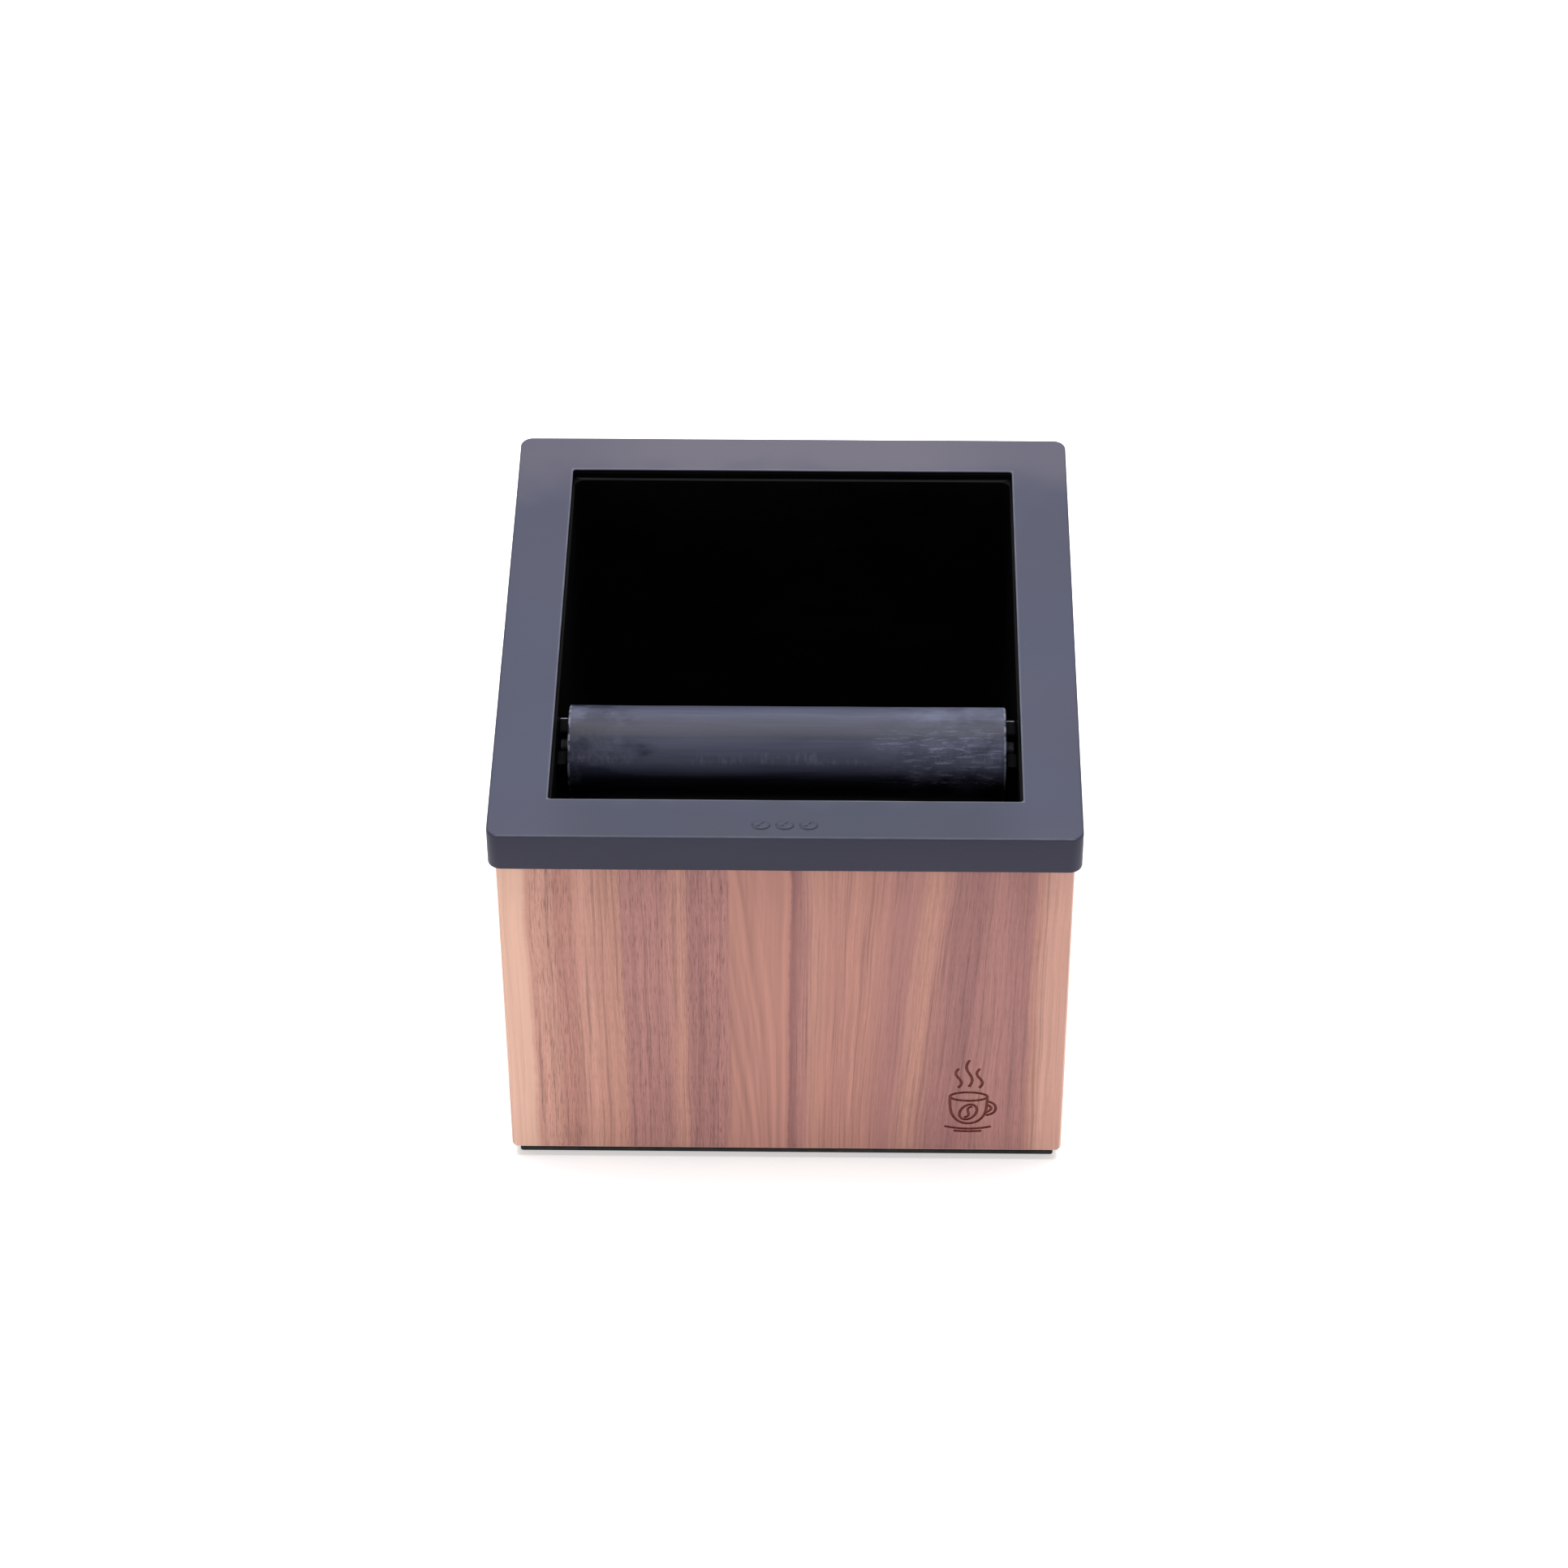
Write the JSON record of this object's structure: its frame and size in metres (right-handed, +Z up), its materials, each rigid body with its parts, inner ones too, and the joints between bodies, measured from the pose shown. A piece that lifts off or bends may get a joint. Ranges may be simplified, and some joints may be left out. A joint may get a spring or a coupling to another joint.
{
  "type": "espresso knock box",
  "caption": "Wooden espresso knock box with a lift-out grounds bin, a soft top frame and a rubber-sleeved knock bar resting in open cradles.",
  "frame": {"origin": "centre of the underside, on the surface the box stands on", "axes": "+Z up, front face with the engraved emblem towards -Y, knock bar along X nearer the front"},
  "size_m": [0.18, 0.195, 0.142],
  "materials": {
    "frame_silicone": "satin moulded silicone",
    "walnut": "sanded walnut with a satin clear coat",
    "plywood": "raw plywood",
    "bin_plastic": "smooth black moulding",
    "black_steel": "black oxide and powder coat, rubbed at the edges",
    "steel": "bright zinc plate",
    "bar_rubber": "satin rubber, scuffed",
    "foot_rubber": "matt rubber",
    "nylon": "matt nylon"
  },
  "bodies": {
    "case": {"case_front": "walnut", "case_back": "walnut", "case_left": "walnut", "case_right": "walnut", "case_floor": "plywood", "corner_spline_front_left": "plywood", "corner_spline_front_right": "plywood", "corner_spline_back_right": "plywood", "corner_spline_back_left": "plywood", "base_plate": "black_steel", "anti_slip_mat": "foot_rubber", "base_screw_front_left": "steel", "base_screw_front_right": "steel", "base_screw_back_right": "steel", "base_screw_back_left": "steel", "bin_pad_front_left": "foot_rubber", "bin_pad_front_right": "foot_rubber", "bin_pad_back_right": "foot_rubber", "bin_pad_back_left": "foot_rubber"},
    "bin": {"grounds_bin": "bin_plastic", "bar_cradle_left": "black_steel", "bar_cradle_right": "black_steel", "cradle_rivet_left_front": "steel", "cradle_rivet_left_back": "steel", "cradle_rivet_right_front": "steel", "cradle_rivet_right_back": "steel"},
    "frame": {"top_frame": "frame_silicone"},
    "bar": {"bar_rod": "black_steel"},
    "sleeve": {"bar_sleeve": "bar_rubber", "bar_core": "nylon", "bar_end_washer_left": "nylon", "bar_end_washer_right": "nylon"}
  },
  "joints": [
    {"name": "bin_lift", "type": "slide", "parent": "case", "child": "bin", "axis": [0, 0, 1], "range_m": [0, 0.15]},
    {"name": "frame_lift", "type": "slide", "parent": "bin", "child": "frame", "axis": [0, 0, 1], "range_m": [0, 0.04]},
    {"name": "bar_lift", "type": "slide", "parent": "bin", "child": "bar", "axis": [0, 0, 1], "range_m": [0, 0.06]},
    {"name": "sleeve_spin", "type": "hinge", "parent": "bar", "child": "sleeve", "pos_m": [0, -0.0415, 0.126], "axis": [1, 0, 0], "continuous": true}
  ]
}
